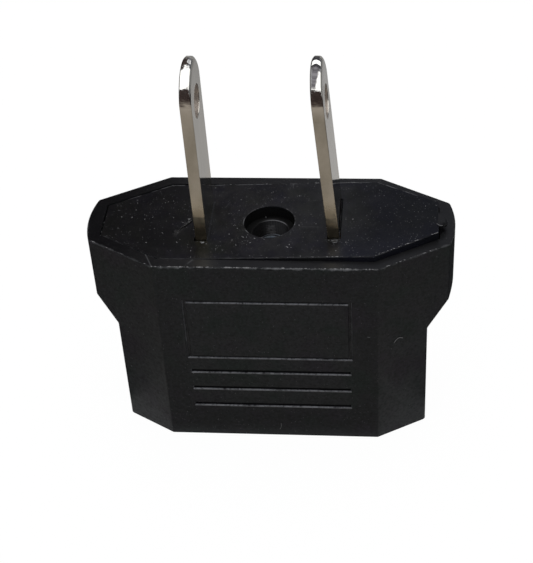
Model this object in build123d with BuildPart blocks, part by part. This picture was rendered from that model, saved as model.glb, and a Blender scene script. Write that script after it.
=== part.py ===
from build123d import *

import os
from math import cos, radians, sin, tan

# Travel adapter: round pins go in below, flat blades come out above.
# It stands on its socket face at Z = 0, with +Z along the blades, X along the long side
# and the front, with its framed panel, towards -Y. Lengths in millimetres, angles in degrees.

# Body seen from above: an octagon whose two ends bow outwards
body_height = 22.42
body_depth = 14.3
front_width = 21.2
shoulder_length = 34.7
end_width = 6.4
end_bow = 0.5
draft_angle = 0.2

# Waist, cut in at both ends below the shoulders
waist_length = 30.7
waist_height = 12.63
flare_angle = 54.0

# Broken edges of the moulding
corner_round = 0.4
base_round = 0.15
rim_round = 0.1

# Shell
socket_wall = 2.4
side_wall = 1.8
rim_width = 1.2
pocket_length = 32.7
ledge_width = 0.7
upper_room_height = 16.4

# Sunk lines: a framed panel on the front, grip lines on front and back
panel_width = 16.3
panel_height = 7.6
panel_drop = 4.1
panel_line = 0.4
panel_line_depth = 0.2
grip_length = 16.0
grip_line = 0.55
grip_line_depth = 0.3
grip_drop = 13.45
grip_pitch = 2.3
grip_count = 3
line_taper_angle = 25.0

# Cover plate: seated left of a kink, and lifting out of the rim towards its right end
cover_thickness = 1.8
cover_edge_break = 0.08
cover_gap = 0.1
cover_sink = 0.03
cover_kink = 7.5
cover_rise_angle = 1.9
cover_seat_gap = 0.03

# Screw that holds the cover to the pillar, and its stepped hole
screw_offset = 0.35
mouth_diameter = 4.95
mouth_depth = 1.27
head_bore_diameter = 3.6
head_diameter = 3.2
head_height = 1.1
head_depth = 2.6
head_round = 0.35
recess_length = 1.9
recess_width = 0.45
recess_depth = 0.6
seat_thickness = 1.2
shank_diameter = 1.7
shank_length = 8.0
point_length = 1.2
shank_gap = 0.2
pilot_spare = 0.6
cover_boss_diameter = 6.0
pillar_diameter = 4.6
pillar_gap = 0.15
partition_thickness = 1.4

# Blades, stamped and nickel plated, each with shoulders that drop into ribs of the housing
blade_spacing = 12.7
blade_width = 6.1
blade_thickness = 1.1
blade_reach = 18.1
tip_lead = 0.65
tip_land = 0.1
tip_radius = 0.73
blade_hole_diameter = 3.05
blade_hole_height = 13.85
blade_edge_break = 0.08
left_lean_angle = 0.8
right_lean_angle = 4.3
slot_gap = 0.1
left_slot_shift = 0.06
slot_end_gap = 0.08
tail_length = 12.5
shoulder_seat_drop = 1.9
shoulder_bite = 0.6
shoulder_play = 0.1
shoulder_head_gap = 0.05
rib_width = 2.6

# Sprung clips that grip the round pins, one riveted to each blade
pin_spacing = 19.0
pin_hole_diameter = 5.0
pin_hole_lead = 0.4
clip_sheet = 0.45
clip_gap = 0.35
clip_grip = 4.1
clip_waist = 0.4
clip_mouth_reach = 2.5
clip_mouth_flare = 0.9
clip_bend = 0.3
clip_grip_bend = 1.2
clip_rib_gap = 0.2
clip_head_gap = 0.2
rivet_diameter = 1.8
rivet_drop = 7.6
rivet_flush_diameter = 3.2
rivet_flush_depth = 0.5
rivet_head_diameter = 3.0
rivet_head_height = 0.5

# Places that follow from the sizes above
blade_x = blade_spacing / 2
pin_x = pin_spacing / 2
cover_rise = tan(radians(cover_rise_angle))
cover_middle = body_height - cover_sink + cover_kink * cover_rise
cover_frame = Plane((0, 0, cover_middle)).rotated((0, -cover_rise_angle, 0))
screw_frame = Plane((0, -screw_offset, cover_middle)).rotated((0, -cover_rise_angle, 0))
ledge_height = body_height - cover_sink - cover_thickness - cover_seat_gap
head_seat_depth = head_depth + head_height
boss_depth = head_seat_depth + seat_thickness
pillar_height = cover_middle - boss_depth - pillar_gap
clip_side = blade_width / 2 + clip_gap
rib_face = clip_side + clip_sheet + clip_rib_gap
shoulder_seat = ledge_height - shoulder_seat_drop
rivet_height = body_height - rivet_drop


def inner_outline(inset, length):
    """Plan inside the body: drawn in from its long and slanting sides, with straight ends."""
    corner = (front_width / 2, body_depth / 2)
    slant = (shoulder_length - front_width) / (body_depth - end_width)
    point = corner[0] + corner[1] * slant
    with BuildSketch() as outline:
        with BuildLine():
            Polyline((-point, 0), (-corner[0], -corner[1]), (corner[0], -corner[1]), (point, 0))
            mirror(about=Plane.XZ)
        make_face()
        offset(amount=-inset, kind=Kind.INTERSECTION)
        Rectangle(length, body_depth, mode=Mode.INTERSECT)
    return outline.sketch


def runs_along(edge, axis):
    """Whether an edge's middle points within 60 degrees of an axis."""
    return abs(edge.tangent_at(0.5).dot(axis.direction)) > cos(radians(60))


def face_plane(side):
    """Plane on the front (-1) or back (1) face, with its origin at the rim and Y up the face."""
    lean = radians(draft_angle)
    normal = (0, side * cos(lean), -sin(lean))
    return Plane((0, side * body_depth / 2, body_height), x_dir=(-side, 0, 0), z_dir=normal)


# Housing: the moulded shell with its socket face, ribs, pillar and sunk lines
with BuildPart() as housing:
    with BuildSketch(Plane.XY.offset(body_height)):
        with BuildLine():
            end = (shoulder_length / 2, end_width / 2)
            corner = (front_width / 2, body_depth / 2)
            Polyline((-end[0], -end[1]), (-corner[0], -corner[1]), (corner[0], -corner[1]), (end[0], -end[1]))
            ThreePointArc((end[0], -end[1]), (end[0] + end_bow, 0), end)
            Polyline(end, corner, (-corner[0], corner[1]), (-end[0], end[1]))
            ThreePointArc((-end[0], end[1]), (-end[0] - end_bow, 0), (-end[0], -end[1]))
        make_face()
    extrude(amount=-body_height)
    walls = housing.faces().filter_by(Axis.Z, reverse=True)
    draft(walls, neutral_plane=Plane.XY.offset(body_height), angle=-draft_angle)

    with BuildSketch(Plane.XZ):
        with BuildLine():
            reach = shoulder_length / 2 + end_bow + rim_width
            flare_rise = (reach - waist_length / 2) * tan(radians(flare_angle))
            Polyline(
                (waist_length / 2, 0),
                (waist_length / 2, waist_height),
                (reach, waist_height + flare_rise),
                (reach, 0),
                close=True,
            )
        make_face()
        mirror(about=Plane.YZ)
    extrude(amount=body_depth, both=True, mode=Mode.SUBTRACT)

    upright_edges = housing.edges().filter_by(lambda edge: runs_along(edge, Axis.Z))
    cross_edges = housing.edges().filter_by(lambda edge: runs_along(edge, Axis.Y))
    flare_edges = cross_edges.filter_by_position(Axis.Z, base_round, body_height - base_round)
    fillet(upright_edges + flare_edges, radius=corner_round)
    fillet(housing.faces().sort_by(Axis.Z)[0].edges(), radius=base_round)
    fillet(housing.faces().sort_by(Axis.Z)[-1].edges(), radius=rim_round)

    with BuildSketch(Plane.XY.offset(socket_wall)):
        add(inner_outline(side_wall, waist_length - 2 * side_wall))
    extrude(amount=ledge_height - socket_wall, mode=Mode.SUBTRACT)
    with BuildSketch(Plane.XY.offset(upper_room_height)):
        add(inner_outline(rim_width + ledge_width, pocket_length - 2 * ledge_width))
    extrude(amount=ledge_height - upper_room_height, mode=Mode.SUBTRACT)
    with BuildSketch(Plane.XY.offset(ledge_height)):
        add(inner_outline(rim_width, pocket_length))
    extrude(amount=body_height - ledge_height, mode=Mode.SUBTRACT)

    with BuildSketch(Plane.XY.offset(socket_wall)):
        with Locations((0, -screw_offset)):
            Circle(pillar_diameter / 2)
        Rectangle(partition_thickness, body_depth - side_wall)
    extrude(amount=pillar_height - socket_wall)
    with BuildSketch(screw_frame.offset(-boss_depth)):
        Circle(shank_diameter / 2)
    extrude(amount=seat_thickness - shank_length - pilot_spare, mode=Mode.SUBTRACT)

    rib_depth = body_depth / 2 - side_wall / 2 - rib_face
    with BuildSketch(Plane.XY.offset(socket_wall)):
        with GridLocations(blade_spacing, 2 * rib_face + rib_depth, 2, 2):
            Rectangle(rib_width, rib_depth)
    extrude(amount=ledge_height - socket_wall)
    with BuildSketch(Plane.XY.offset(shoulder_seat)):
        with GridLocations(blade_spacing, 0, 2, 1):
            Rectangle(
                blade_thickness + 2 * shoulder_play,
                2 * (rib_face + shoulder_bite + shoulder_play),
            )
    extrude(amount=shoulder_seat_drop, mode=Mode.SUBTRACT)

    with Locations(Plane.XY.rotated((180, 0, 0))):
        with GridLocations(pin_spacing, 0, 2, 1):
            CounterSinkHole(
                radius=pin_hole_diameter / 2,
                counter_sink_radius=pin_hole_diameter / 2 + pin_hole_lead,
                depth=socket_wall,
            )

    for side in (-1, 1):
        with BuildSketch(face_plane(side)):
            with Locations((0, -grip_drop - grip_pitch * (grip_count - 1) / 2)):
                with GridLocations(0, grip_pitch, 1, grip_count):
                    Rectangle(grip_length, grip_line)
        extrude(amount=-grip_line_depth, taper=line_taper_angle, mode=Mode.SUBTRACT)
    with BuildSketch(face_plane(-1)):
        with Locations((0, -panel_drop - panel_height / 2)):
            Rectangle(panel_width, panel_height)
            Rectangle(panel_width - 2 * panel_line, panel_height - 2 * panel_line, mode=Mode.SUBTRACT)
    extrude(amount=-panel_line_depth, taper=line_taper_angle, mode=Mode.SUBTRACT)

# Cover plate: a kinked sheet trimmed to the pocket, with slots for the blades and a boss for the screw
with BuildPart() as cover_plate:
    with BuildSketch(Plane.XZ):
        with BuildLine():
            seat = body_height - cover_sink
            Polyline(
                (-pocket_length, seat),
                (-cover_kink, seat),
                (pocket_length, seat + (pocket_length + cover_kink) * cover_rise),
            )
            offset(amount=cover_thickness, side=Side.RIGHT, kind=Kind.INTERSECTION)
        make_face()
    extrude(amount=body_depth, both=True)
    with BuildSketch(Plane.XY.offset(ledge_height)):
        add(inner_outline(rim_width + cover_gap, pocket_length - 2 * cover_gap))
    extrude(amount=2 * cover_thickness, mode=Mode.INTERSECT)
    top_edges = cover_plate.faces().filter_by(lambda face: face.normal_at().Z > cos(radians(60))).edges()
    kink_edge = top_edges.filter_by_position(Axis.X, -cover_kink, -cover_kink)
    chamfer(top_edges - kink_edge, length=cover_edge_break)
    with BuildSketch(screw_frame.offset(-cover_thickness / 2)):
        Circle(cover_boss_diameter / 2)
    extrude(amount=cover_thickness / 2 - boss_depth)
    with BuildSketch(cover_frame):
        with Locations((-blade_x - left_slot_shift, 0), (blade_x, 0)):
            Rectangle(blade_thickness + 2 * slot_gap, blade_width + 2 * slot_end_gap)
    extrude(amount=-cover_thickness, mode=Mode.SUBTRACT)
    with Locations(screw_frame):
        CounterBoreHole(
            radius=shank_diameter / 2 + shank_gap,
            counter_bore_radius=head_bore_diameter / 2,
            counter_bore_depth=head_seat_depth,
        )
        Hole(radius=mouth_diameter / 2, depth=mouth_depth)

# Cover screw: a turned pan head and pointed shank, with a cross recess
with BuildPart() as cover_screw:
    turning_plane = Plane(screw_frame.origin, x_dir=screw_frame.x_dir, z_dir=-screw_frame.y_dir)
    with BuildSketch(turning_plane):
        with BuildLine():
            shank_end = head_seat_depth + shank_length
            FilletPolyline(
                (0, -head_depth),
                (head_diameter / 2, -head_depth),
                (head_diameter / 2, -head_seat_depth),
                (shank_diameter / 2, -head_seat_depth),
                (shank_diameter / 2, point_length - shank_end),
                (0, -shank_end),
                radius=[head_round, 0, 0, 0],
            )
            Line((0, -shank_end), (0, -head_depth))
        make_face()
    revolve(axis=Axis(screw_frame.origin, screw_frame.z_dir))
    with BuildSketch(screw_frame.offset(-head_depth)):
        Rectangle(recess_length, recess_width)
        Rectangle(recess_width, recess_length)
    extrude(amount=-recess_depth, mode=Mode.SUBTRACT)


def rivet_plane(side):
    """Plane on the outer face of a blade's tail, at the rivet."""
    return Plane((side * (blade_x + blade_thickness / 2), 0, rivet_height), z_dir=(side, 0, 0))


def make_blade(side, lean):
    """One blade: a bent strip trimmed to its tip, shoulders and tail, and rounded over at the tip."""
    bend = (side * blade_x - blade_thickness / 2, body_height)
    foot = (bend[0], bend[1] - tail_length)
    run = blade_reach + blade_thickness
    tip = (bend[0] - run * sin(radians(lean)), bend[1] + run * cos(radians(lean)))
    along = Vector(-sin(radians(lean)), 0, cos(radians(lean)))
    across = Vector(cos(radians(lean)), 0, sin(radians(lean)))
    crest = Vector(side * blade_x - blade_reach * tan(radians(lean)), 0, body_height + blade_reach)
    tip_plane = Plane(crest - along * (blade_width / 2 + tip_lead), x_dir=across, z_dir=along)
    shoulder_half = rib_face + shoulder_bite
    shoulder_height = shoulder_seat_drop - shoulder_head_gap
    shoulder_middle = shoulder_seat + shoulder_height / 2
    with BuildPart() as blade:
        with BuildSketch(Plane.XZ):
            with BuildLine():
                Polyline(foot, bend, tip)
                offset(amount=blade_thickness, side=Side.RIGHT, kind=Kind.INTERSECTION)
            make_face()
        extrude(amount=shoulder_half, both=True)
        with BuildSketch(Plane.YZ):
            straight = blade_reach - blade_width / 2
            with Locations((0, body_height + (straight - tail_length) / 2)):
                Rectangle(blade_width, straight + tail_length)
            with Locations((0, body_height + straight)):
                Circle(blade_width / 2)
            with Locations((0, shoulder_middle)):
                Rectangle(2 * shoulder_half, shoulder_height)
            with Locations((0, body_height + blade_hole_height)):
                Circle(blade_hole_diameter / 2, mode=Mode.SUBTRACT)
            with Locations((0, rivet_height)):
                Circle(rivet_diameter / 2, mode=Mode.SUBTRACT)
        extrude(amount=shoulder_length / 2, both=True, mode=Mode.INTERSECT)
        above = blade.edges().filter_by(lambda edge: edge.bounding_box().min.Z > shoulder_middle)
        exposed = above.filter_by(lambda edge: edge.bounding_box().size.Z > blade_thickness)
        chamfer(exposed, length=blade_edge_break)
        with BuildSketch(tip_plane):
            with BuildLine():
                face = blade_thickness / 2
                land = tip_land / 2
                lead_start = blade_width / 2
                lead_end = lead_start + tip_lead
                RadiusArc((face, lead_start), (land, lead_end), -tip_radius)
                Polyline(
                    (land, lead_end),
                    (land, lead_end + blade_thickness),
                    (blade_thickness, lead_end + blade_thickness),
                    (blade_thickness, lead_start),
                    (face, lead_start),
                )
            make_face()
            mirror(about=Plane.YZ)
        revolve(axis=Axis(tip_plane.origin, across), revolution_arc=180, mode=Mode.SUBTRACT)
        with BuildSketch(rivet_plane(side)):
            Circle(rivet_flush_diameter / 2)
        with BuildSketch(rivet_plane(side).offset(-rivet_flush_depth)):
            Circle(rivet_diameter / 2)
        loft(mode=Mode.SUBTRACT)
    return blade.part


def make_contact(side):
    """One sprung clip: a strip bent round the blade's tail, with two leaves that grip the pin."""
    web = blade_x - blade_thickness / 2
    waist = blade_x + blade_thickness / 2 + clip_waist
    grip = clip_grip / 2
    mouth = (pin_x + clip_mouth_reach, grip + clip_mouth_flare)
    leaf = [mouth, (pin_x, grip), (waist, clip_side), (web, clip_side)]
    bends = [clip_grip_bend, clip_bend, clip_bend]
    far_leaf = [(x, -y) for x, y in reversed(leaf)]
    with BuildSketch() as inside:
        with BuildLine():
            FilletPolyline(*leaf, *far_leaf, radius=bends + bends[::-1])
            Line(far_leaf[-1], leaf[0])
        make_face()
    with BuildPart() as contact:
        with BuildSketch(Plane.XY.offset(socket_wall)):
            offset(inside.sketch, amount=clip_sheet)
            add(inside.sketch, mode=Mode.SUBTRACT)
            with Locations((mouth[0], 0)):
                Rectangle(clip_mouth_reach, body_depth, align=(Align.MIN, Align.CENTER), mode=Mode.SUBTRACT)
        extrude(amount=shoulder_seat - clip_head_gap - socket_wall)
        with BuildSketch(Plane.YZ.offset(web)):
            with Locations((0, rivet_height)):
                Circle(rivet_diameter / 2)
        extrude(amount=-clip_sheet, mode=Mode.SUBTRACT)
    if side < 0:
        return mirror(contact.part, about=Plane.YZ)
    return contact.part


left_blade = make_blade(-1, left_lean_angle)
right_blade = make_blade(1, right_lean_angle)
left_contact = make_contact(-1)
right_contact = make_contact(1)

# Rivets: flush with each blade's outer face, headed over on the clip
with BuildPart() as contact_rivets:
    for side in (-1, 1):
        with BuildSketch(rivet_plane(side)):
            Circle(rivet_flush_diameter / 2)
        with BuildSketch(rivet_plane(side).offset(-rivet_flush_depth)):
            Circle(rivet_diameter / 2)
        loft()
        with BuildSketch(rivet_plane(side).offset(-rivet_flush_depth)):
            Circle(rivet_diameter / 2)
        extrude(amount=rivet_flush_depth - blade_thickness - clip_sheet)
        with BuildSketch(rivet_plane(side).offset(-blade_thickness - clip_sheet)):
            Circle(rivet_head_diameter / 2)
        extrude(amount=-rivet_head_height)

os.makedirs("parts", exist_ok=True)
pieces = {
    "housing": housing.part,
    "cover_plate": cover_plate.part,
    "cover_screw": cover_screw.part,
    "left_blade": left_blade,
    "right_blade": right_blade,
    "left_contact": left_contact,
    "right_contact": right_contact,
    "contact_rivets": contact_rivets.part,
}
for name, piece in pieces.items():
    piece.label = name
    export_step(piece, f"parts/{name}.step")
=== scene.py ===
# %% [markdown]
# # A travel adapter on a white table
#
# The solids of the adapter are already made: a black moulded housing, a cover plate let into its rim, two
# plated blades, a screw, and the clips and rivets inside. This lesson gives them their finish, adds the
# small things that a mould and a pocket leave on such a part, and sets up the camera and the light. The
# scene is in metres and in the frame of the solids: X along the long side, the panel towards -Y, Z up.
# Sizes on the part are written in millimetres.

# %% Load the solids
import math
import random

import bmesh
import bpy
from mathutils import Matrix, Vector


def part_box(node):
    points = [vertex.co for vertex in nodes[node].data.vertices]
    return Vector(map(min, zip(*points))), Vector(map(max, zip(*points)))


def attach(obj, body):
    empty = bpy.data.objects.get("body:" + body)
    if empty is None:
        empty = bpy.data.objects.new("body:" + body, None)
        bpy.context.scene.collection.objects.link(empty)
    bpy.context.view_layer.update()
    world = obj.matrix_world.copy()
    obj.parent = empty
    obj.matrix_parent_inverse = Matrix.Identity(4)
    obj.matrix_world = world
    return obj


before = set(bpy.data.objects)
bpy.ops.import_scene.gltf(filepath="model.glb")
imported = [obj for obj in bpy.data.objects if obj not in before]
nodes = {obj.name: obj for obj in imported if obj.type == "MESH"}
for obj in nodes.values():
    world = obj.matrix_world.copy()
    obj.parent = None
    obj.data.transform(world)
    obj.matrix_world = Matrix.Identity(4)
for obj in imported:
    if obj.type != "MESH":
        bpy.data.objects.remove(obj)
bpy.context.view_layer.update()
MM = 0.001


print("solids:", ", ".join(sorted(nodes)))

# %% [markdown]
# ## The camera
#
# The picture was taken by hand, from a little right of the middle and about 40 degrees above the table,
# with the camera rolled by a few degrees. A camera can be aimed with a Track To constraint, but that
# can't give a roll, so the three axes of the camera are worked out and put into its matrix.

# %% Camera
IMAGE_HEIGHT = 563
SENSOR_HEIGHT = 36
CAMERA_PLACE = Vector((13.38, -111.27, 109.54)) * MM
CAMERA_TURN = math.radians(7.22)
CAMERA_RISE = math.radians(40.20)
CAMERA_ROLL = math.radians(-3.86)
FOCAL_PIXELS = 1464.03


def direction(turn, rise):
    """The way from the adapter to a place, turned from the front to the right and raised from the table."""
    return Vector((math.sin(turn) * math.cos(rise), -math.cos(turn) * math.cos(rise), math.sin(rise)))


back = direction(CAMERA_TURN, CAMERA_RISE)
level = Vector((0, 0, 1)).cross(back).normalized()
right = Matrix.Rotation(CAMERA_ROLL, 3, back) @ level
axes = Matrix((right, back.cross(right), back)).transposed()

camera = bpy.data.objects.new("camera", bpy.data.cameras.new("camera"))
camera.data.sensor_fit = "VERTICAL"
camera.data.sensor_height = SENSOR_HEIGHT
camera.data.lens = FOCAL_PIXELS / IMAGE_HEIGHT * SENSOR_HEIGHT
camera.data.clip_start = MM
camera.matrix_world = Matrix.Translation(CAMERA_PLACE) @ axes.to_4x4()
bpy.context.scene.collection.objects.link(camera)
bpy.context.scene.camera = camera
bpy.context.scene.view_settings.view_transform = "Standard"
print("lens in mm:", round(camera.data.lens, 2))

# %% [markdown]
# ## A way to write materials
#
# A finish is a graph of nodes, and a long graph is hard to read when every node and link takes three
# lines. Here a small class wraps one output of a node and takes part in sums, so that `1 - mask * 0.5`
# adds the Math nodes by itself. Every other kind of node comes from one method, which sets the node up
# and then fills its sockets with numbers, colours or links.

# %% The socket that can be calculated with
class Wire:
    """One output of a node; sums with it add Math nodes to the same finish."""

    def __init__(self, finish, socket):
        self.finish = finish
        self.socket = socket

    def __add__(self, other):
        return self.finish.math("ADD", self, other)

    __radd__ = __add__

    def __mul__(self, other):
        return self.finish.math("MULTIPLY", self, other)

    __rmul__ = __mul__

    def __sub__(self, other):
        return self.finish.math("SUBTRACT", self, other)

    def __rsub__(self, other):
        return self.finish.math("SUBTRACT", other, self)

    def __pow__(self, other):
        return self.finish.math("POWER", self, other)

    def __rpow__(self, other):
        return self.finish.math("POWER", other, self)

    def __abs__(self):
        return self.finish.math("ABSOLUTE", self)

    def other(self, name):
        """Another output of the same node."""
        return Wire(self.finish, self.socket.node.outputs[name])


print("a socket takes part in +, -, *, ** and abs()")


# %% The finish that nodes are added to
class Finish:
    """A material that is written node by node, in millimetres."""

    def __init__(self, name):
        self.material = bpy.data.materials.new(name)
        self.material.use_nodes = True
        self.tree = self.material.node_tree
        self.tree.nodes.clear()
        self.place = self.vector("SCALE", self.node("ShaderNodeTexCoord", out="Object"), 1 / MM)

    def node(self, kind, settings=None, sockets=None, out=0):
        """Adds a node of a kind: its settings come first, then the values or links of its sockets."""
        made = self.tree.nodes.new(kind)
        for name, value in (settings or {}).items():
            setattr(made, name, value)
        for name, value in (sockets or {}).items():
            socket = made.inputs[name]
            if isinstance(value, Wire):
                self.tree.links.new(value.socket, socket)
            elif socket.type == "RGBA":
                socket.default_value = (*value, 1)
            else:
                socket.default_value = value
        return Wire(self, made.outputs[out])

    def math(self, operation, first, second=0):
        """A Math node."""
        return self.node("ShaderNodeMath", {"operation": operation}, {0: first, 1: second})

    def least(self, first, second):
        return self.math("MINIMUM", first, second)

    def most(self, first, second):
        return self.math("MAXIMUM", first, second)

    def vector(self, operation, first, second=(0, 0, 0)):
        """A Vector Math node; for SCALE the second value is a number."""
        socket = "Scale" if operation == "SCALE" else 1
        return self.node("ShaderNodeVectorMath", {"operation": operation}, {0: first, socket: second})

    def xyz(self, vector=None):
        """The three coordinates of a vector, or of the place on the part, in millimetres."""
        split = self.node("ShaderNodeSeparateXYZ", {}, {0: vector or self.place})
        return [split.other(axis) for axis in "XYZ"]

    def facing(self):
        """The three coordinates of the direction that the surface faces."""
        return self.xyz(self.node("ShaderNodeNewGeometry", out="Normal"))

    def fade(self, value, start, end):
        """0 at start and before it, 1 at end and after it, with a soft step between."""
        sockets = {"Value": value, "From Min": start, "From Max": end}
        return self.node("ShaderNodeMapRange", {"interpolation_type": "SMOOTHSTEP"}, sockets)

    def noise(self, scale, detail=2.0, roughness=0.5, stretch=None, seed=0.0):
        """Noise around 0.5 with a grain of 1 / scale millimetres, drawn out along an axis if wanted."""
        place = self.vector("MULTIPLY", self.place, stretch) if stretch else self.place
        sockets = {"Vector": place, "W": seed, "Scale": scale, "Detail": detail, "Roughness": roughness}
        return self.node("ShaderNodeTexNoise", {"noise_dimensions": "4D"}, sockets)

    def mix(self, amount, first, second):
        """One colour over another."""
        return self.node("ShaderNodeMix", {"data_type": "RGBA"}, {0: amount, 6: first, 7: second}, out=2)

    def paint(self, colour, layers):
        """A colour with layers over it, each with its amount and its own colour."""
        for amount, tone in layers:
            colour = self.mix(amount, colour, tone)
        return colour

    def bump(self, height, strength, distance, under=None):
        """A normal from a height, which may lie over another normal."""
        sockets = {"Height": height, "Strength": strength, "Distance": distance * MM}
        if under:
            sockets["Normal"] = under
        return self.node("ShaderNodeBump", {}, sockets)

    def round_edges(self, radius):
        """A normal that runs smoothly over the edges of the mesh, as if they had a radius."""
        return self.node("ShaderNodeBevel", {"samples": 6}, {"Radius": radius * MM})

    def surface(self, **sockets):
        """Ends the finish with a Principled shader; a name's underscores stand for spaces."""
        sockets = {name.replace("_", " "): value for name, value in sockets.items()}
        self.end(self.node("ShaderNodeBsdfPrincipled", {}, sockets))
        return self.material

    def end(self, shader):
        """Sends a shader to the output."""
        output = self.tree.nodes.new("ShaderNodeOutputMaterial")
        self.tree.links.new(shader.socket, output.inputs["Surface"])


print("helpers ready: Wire and Finish")

# %% [markdown]
# ## The table
#
# The adapter stands on a white table that turns up into a low wall far away, so that it has a white
# ground from every side. It is a profile turned round Z, like a shallow dish. A white as plain as the
# picture's would need a great deal of light, so the table glows by itself for the rays of the camera and
# for mirror images, and a small share of its own paper stays, which keeps the shadow under the adapter.

# %% Table
PAPER = (0.9, 0.9, 0.9)
GLOW = (1, 1, 1)
GLOW_SHARE = 0.97
TABLE_RADIUS = 1.0
WALL_HEIGHT = 0.24
COVE = 0.15


def table_finish():
    """White paper that looks white to the camera and in mirror images, and still takes a shadow."""
    finish = Finish("white_table")
    rays = finish.node("ShaderNodeLightPath", out="Is Camera Ray")
    seen = rays + rays.other("Is Glossy Ray") + rays.other("Is Transmission Ray")
    paper = finish.node("ShaderNodeBsdfDiffuse", {}, {"Color": PAPER})
    glow = finish.node("ShaderNodeEmission", {}, {"Color": GLOW, "Strength": 1.0})
    finish.end(finish.node("ShaderNodeMixShader", {}, {0: seen * GLOW_SHARE, 1: paper, 2: glow}))
    return finish.material


def finished_mesh(name, draft, smooth=False):
    """The mesh of a bmesh, which is used up by it."""
    mesh = bpy.data.meshes.new(name)
    draft.to_mesh(mesh)
    draft.free()
    if smooth:
        mesh.shade_smooth()
    return mesh


def turned(name, profile, steps=96):
    """A mesh that turns a profile of (radius, height) in metres round Z, starting in the middle."""
    draft = bmesh.new()
    middle = draft.verts.new((0, 0, profile[0][1]))
    angles = [2 * math.pi * i / steps for i in range(steps)]
    rings = []
    for radius, height in profile[1:]:
        rings.append([draft.verts.new((radius * math.cos(a), radius * math.sin(a), height)) for a in angles])
    for i in range(steps):
        j = (i + 1) % steps
        draft.faces.new((middle, rings[0][i], rings[0][j]))
        for inner, outer in zip(rings, rings[1:]):
            draft.faces.new((inner[i], outer[i], outer[j], inner[j]))
    return finished_mesh(name, draft, smooth=True)


cove_angles = [math.radians(10 * i) for i in range(10)]
cove = [(TABLE_RADIUS + COVE * math.sin(a), COVE - COVE * math.cos(a)) for a in cove_angles]
table_profile = [(0, 0), (0.1, 0), *cove, (TABLE_RADIUS + COVE, WALL_HEIGHT)]
table = bpy.data.objects.new("table", turned("table", table_profile))
table.data.materials.append(table_finish())
bpy.context.scene.collection.objects.link(table)
print("table radius in m:", TABLE_RADIUS)

# %% [markdown]
# ## The light
#
# The room gives an even, slightly cold light. It could come from a picture of a room, but a plain colour
# is enough, because the boards further down take care of what the metal shows. One large soft light hangs
# nearly overhead and makes the highlights on the blades' tips. A second one, low behind the adapter,
# lifts its back out of the dark. It is kept out of mirror images, where it would show as a bright bar on
# the rim.

# %% Room and soft lights
ROOM_COLOUR = (0.27, 0.28, 0.32, 1)
LIGHT_DISTANCE = 0.6
LIGHT_AIM = Vector((0, 0, 0.03))

world = bpy.data.worlds.new("room")
world.use_nodes = True
world.node_tree.nodes["Background"].inputs["Color"].default_value = ROOM_COLOUR
bpy.context.scene.world = world


def softbox(name, turn, rise, width, height, radiance, mirrored=True):
    """A rectangular light that faces the adapter, as bright as a surface of that radiance."""
    lamp = bpy.data.lights.new(name, "AREA")
    lamp.shape = "RECTANGLE"
    lamp.size = width
    lamp.size_y = height
    lamp.energy = radiance * math.pi * width * height
    piece = bpy.data.objects.new(name, lamp)
    towards = direction(math.radians(turn), math.radians(rise))
    piece.location = towards * LIGHT_DISTANCE + LIGHT_AIM
    piece.rotation_euler = towards.to_track_quat("Z", "Y").to_euler()
    piece.visible_camera = False
    piece.visible_glossy = mirrored
    bpy.context.scene.collection.objects.link(piece)
    print(name, "in watts:", round(lamp.energy, 2))


softbox("softbox", turn=0, rise=78, width=0.7, height=1.0, radiance=2.4)
softbox("fill_light", turn=180, rise=20, width=0.8, height=0.3, radiance=2.0, mirrored=False)

# %% [markdown]
# ## What the part mirrors
#
# Polished metal shows its surroundings, and so does black plastic. Grey boards on the table around the
# adapter tone down the sides and the narrow edges of the blades. A dark cloth far in front gives the dark
# band below the bright tips, and another one, hung at the back on the left, lets the cover grow darker to
# that end. In a studio they would have to stay out of the picture; here they show in reflections only,
# and cast no shadow.

# %% Boards
BOARD_LEVEL = 0.3
GREY_BOARD = (0.428, 0.375, 0.316)
SIDE_BOARD = (0.04, 0.04, 0.04)
BACK_BOARD = (0.43, 0.418, 0.40)
FAR_BOARD = (0.36, 0.355, 0.345)
DARK_CLOTH = (0.056, 0.041, 0.037)
FRONT_NEAR, FRONT_FAR = -7.6, -400
SIDE_NEAR, SIDE_FAR = 17, 400
BACK_NEAR, BACK_MIDDLE, BACK_FAR = 9, 60, 440
FRONT_CHANGE = (-46, -130)
BACK_CHANGE = (46, 72)


def board(name, corners, colour, change=(0, 1), far_colour=None):
    """A flat board that shows only in reflections; its tone may change between two places on Y."""
    mesh = bpy.data.meshes.new(name)
    mesh.from_pydata([Vector(corner) * MM for corner in corners], [], [tuple(range(len(corners)))])
    piece = bpy.data.objects.new(name, mesh)
    finish = Finish(name)
    tone = finish.mix(finish.fade(finish.xyz()[1], *change), colour, far_colour or colour)
    mesh.materials.append(finish.surface(Base_Color=tone, Roughness=1.0, Specular_IOR_Level=0.0))
    piece.visible_camera = False
    piece.visible_diffuse = False
    piece.visible_shadow = False
    bpy.context.scene.collection.objects.link(piece)


def lying(start, end):
    """The corners of a board that lies on the table, between two opposite corners."""
    outline = [start, (end[0], start[1]), end, (start[0], end[1])]
    return [(x, y, BOARD_LEVEL) for x, y in outline]


def hanging(start, end, low, high):
    """The corners of a cloth that hangs between two places."""
    return [(*start, low), (*end, low), (*end, high), (*start, high)]


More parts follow.
